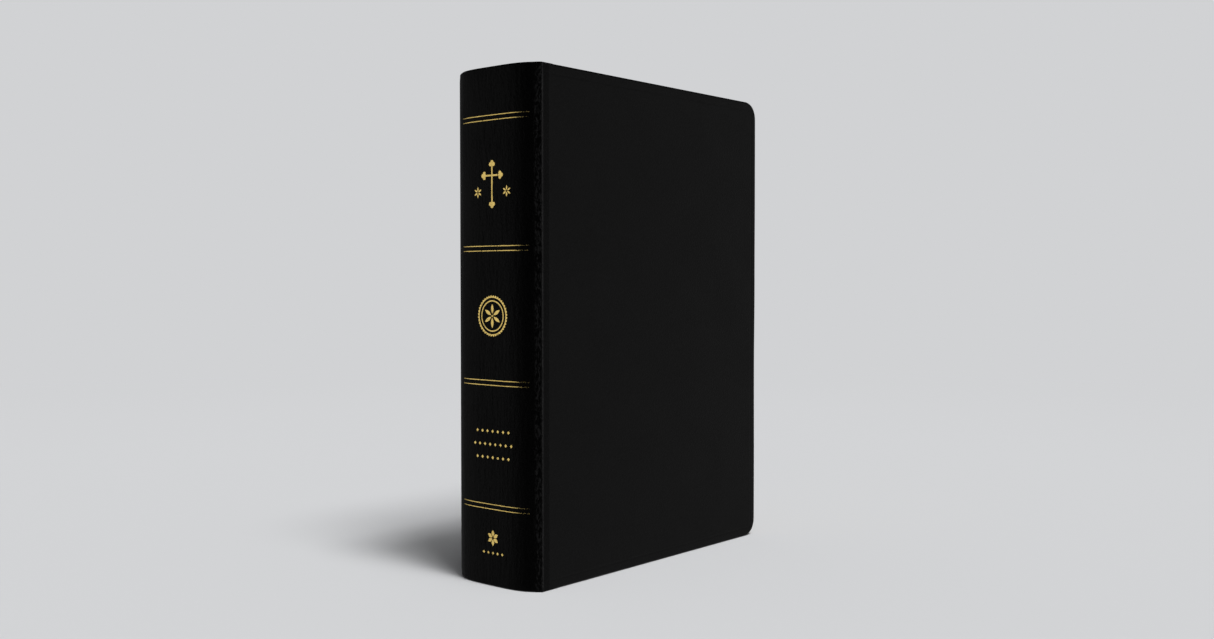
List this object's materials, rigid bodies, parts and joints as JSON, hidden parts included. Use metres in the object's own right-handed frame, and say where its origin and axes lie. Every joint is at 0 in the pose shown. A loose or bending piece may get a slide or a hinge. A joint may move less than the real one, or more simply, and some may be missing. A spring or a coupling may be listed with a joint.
{
  "type": "bible",
  "caption": "Limp leather Bible with gilt rounded spine, flexible covers that fold at two joint lines, and a sewn text block that opens at its middle.",
  "frame": {"origin": "under the middle of the closed book, on the plane it stands on", "axes": "+Z from the tail edge to the head, -X towards the spine, +X towards the fore edge, -Y out of the front cover"},
  "size_m": [0.18, 0.054, 0.24],
  "materials": {
    "cover_leather": "fine grained, satin",
    "spine_leather": "fine grained, creased, satin",
    "joint_leather": "fine grained, creased, satin",
    "gilt": "foil stamped, lightly worn",
    "board": "raw board",
    "kraft_paper": "uncoated",
    "endpaper": "matte, lightly grained",
    "gauze": "open weave",
    "band_silk": "wound silk, black and gold",
    "thread": "waxed",
    "page_paper": "thin uncoated paper, gilt edges"
  },
  "bodies": {
    "back_half": {"back_spine_leather": "spine_leather", "back_spine_inlay": "board", "back_spine_lining": "kraft_paper", "back_spine_mull": "gauze", "back_gilt_rules": "gilt", "back_gilt_ornaments": "gilt", "back_head_band": "band_silk", "back_tail_band": "band_silk", "back_sewing_thread": "thread", "back_sections": "page_paper"},
    "front_half": {"front_spine_leather": "spine_leather", "front_spine_inlay": "board", "front_spine_lining": "kraft_paper", "front_spine_mull": "gauze", "front_gilt_rules": "gilt", "front_gilt_ornaments": "gilt", "front_head_band": "band_silk", "front_tail_band": "band_silk", "front_sewing_thread": "thread", "front_sections": "page_paper"},
    "front_joint": {"front_joint_leather": "joint_leather", "front_joint_mull": "gauze", "front_joint_endpaper": "endpaper"},
    "front_cover": {"front_cover_leather": "cover_leather", "front_cover_board": "board", "front_cover_filler": "kraft_paper", "front_pastedown": "endpaper"},
    "back_joint": {"back_joint_leather": "joint_leather", "back_joint_mull": "gauze", "back_joint_endpaper": "endpaper"},
    "back_cover": {"back_cover_leather": "cover_leather", "back_cover_board": "board", "back_cover_filler": "kraft_paper", "back_pastedown": "endpaper"},
    "front_flyleaf_body": {"front_flyleaf": "endpaper"},
    "back_flyleaf_body": {"back_flyleaf": "endpaper"},
    "gathering_1_body": {"gathering_1": "page_paper"},
    "gathering_2_body": {"gathering_2": "page_paper"},
    "gathering_3_body": {"gathering_3": "page_paper"},
    "gathering_4_body": {"gathering_4": "page_paper"}
  },
  "joints": [
    {"name": "block_opening", "type": "hinge", "parent": "back_half", "child": "front_half", "pos_m": [-0.09005, 0, 0.12], "axis": [0, 0, 1], "range_deg": [-176, 0]},
    {"name": "front_shoulder_fold", "type": "hinge", "parent": "front_half", "child": "front_joint", "pos_m": [-0.08214, -0.02705, 0.12], "axis": [0, 0, 1], "range_deg": [-90, 0]},
    {"name": "front_board_fold", "type": "hinge", "parent": "front_joint", "child": "front_cover", "pos_m": [-0.07614, -0.02705, 0.12], "axis": [0, 0, 1], "range_deg": [-90, 0]},
    {"name": "front_flyleaf_turn", "type": "hinge", "parent": "front_half", "child": "front_flyleaf_body", "pos_m": [-0.08179, -0.02397, 0.12], "axis": [0, 0, 1], "range_deg": [-45, 0]},
    {"name": "back_shoulder_fold", "type": "hinge", "parent": "back_half", "child": "back_joint", "pos_m": [-0.08214, 0.02705, 0.12], "axis": [0, 0, 1], "range_deg": [0, 90]},
    {"name": "back_board_fold", "type": "hinge", "parent": "back_joint", "child": "back_cover", "pos_m": [-0.07614, 0.02705, 0.12], "axis": [0, 0, 1], "range_deg": [0, 90]},
    {"name": "back_flyleaf_turn", "type": "hinge", "parent": "back_half", "child": "back_flyleaf_body", "pos_m": [-0.08179, 0.02397, 0.12], "axis": [0, 0, 1], "range_deg": [0, 45]},
    {"name": "gathering_1_turn", "type": "hinge", "parent": "back_half", "child": "gathering_1_body", "pos_m": [-0.09005, 0, 0.12], "axis": [0, 0, 1], "range_deg": [-140.8, 0]},
    {"name": "gathering_2_turn", "type": "hinge", "parent": "back_half", "child": "gathering_2_body", "pos_m": [-0.09005, 0, 0.12], "axis": [0, 0, 1], "range_deg": [-105.6, 0]},
    {"name": "gathering_3_turn", "type": "hinge", "parent": "back_half", "child": "gathering_3_body", "pos_m": [-0.09005, 0, 0.12], "axis": [0, 0, 1], "range_deg": [-70.4, 0]},
    {"name": "gathering_4_turn", "type": "hinge", "parent": "back_half", "child": "gathering_4_body", "pos_m": [-0.09005, 0, 0.12], "axis": [0, 0, 1], "range_deg": [-35.2, 0]}
  ],
  "couplings": [
    {"joint": "front_flyleaf_turn", "follows": "front_shoulder_fold", "ratio": 0.5},
    {"joint": "back_flyleaf_turn", "follows": "back_shoulder_fold", "ratio": 0.5},
    {"joint": "gathering_1_turn", "follows": "block_opening", "ratio": 0.8},
    {"joint": "gathering_2_turn", "follows": "block_opening", "ratio": 0.6},
    {"joint": "gathering_3_turn", "follows": "block_opening", "ratio": 0.4},
    {"joint": "gathering_4_turn", "follows": "block_opening", "ratio": 0.2}
  ]
}
